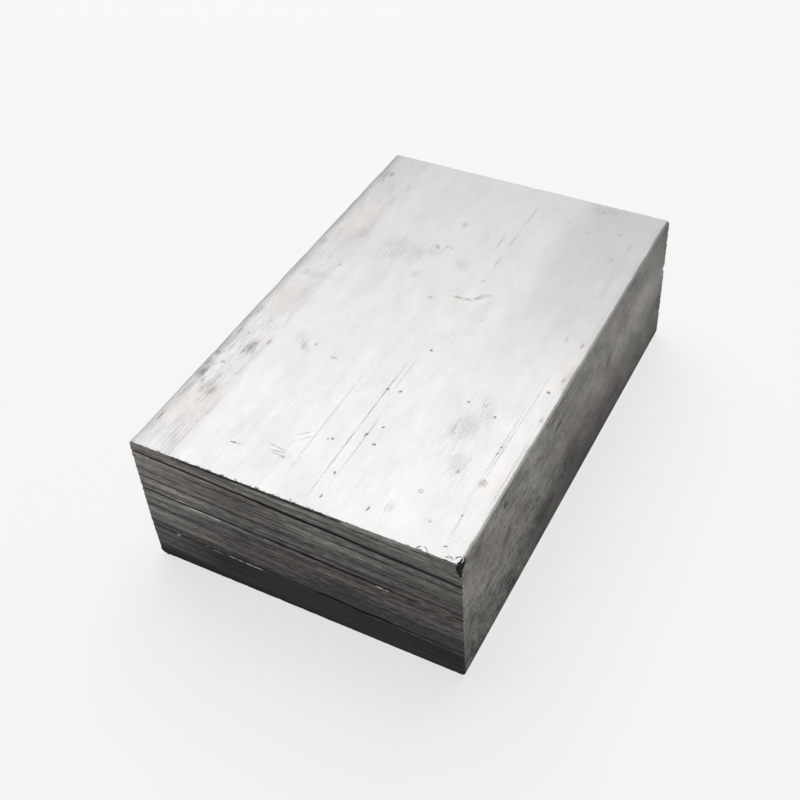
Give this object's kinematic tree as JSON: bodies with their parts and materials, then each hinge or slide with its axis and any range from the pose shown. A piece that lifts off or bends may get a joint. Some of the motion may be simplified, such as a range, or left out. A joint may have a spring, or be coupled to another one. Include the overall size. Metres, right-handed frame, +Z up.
{
  "type": "aluminium flat bar",
  "caption": "Short sawn length of solid rectangular aluminium bar, with lightly rounded long edges and rough saw-cut ends.",
  "frame": {"origin": "centre of the underside, on the surface that the bar lies on", "axes": "+X across the width to the right edge, +Y along the length from the front sawn end to the back one, +Z up out of the top broad face"},
  "size_m": [0.105, 0.162, 0.05],
  "materials": {
    "bar": "mill finish on the four extruded faces, band-sawn ends"
  },
  "bodies": {
    "root": {"flat_bar": "bar"}
  },
  "joints": []
}
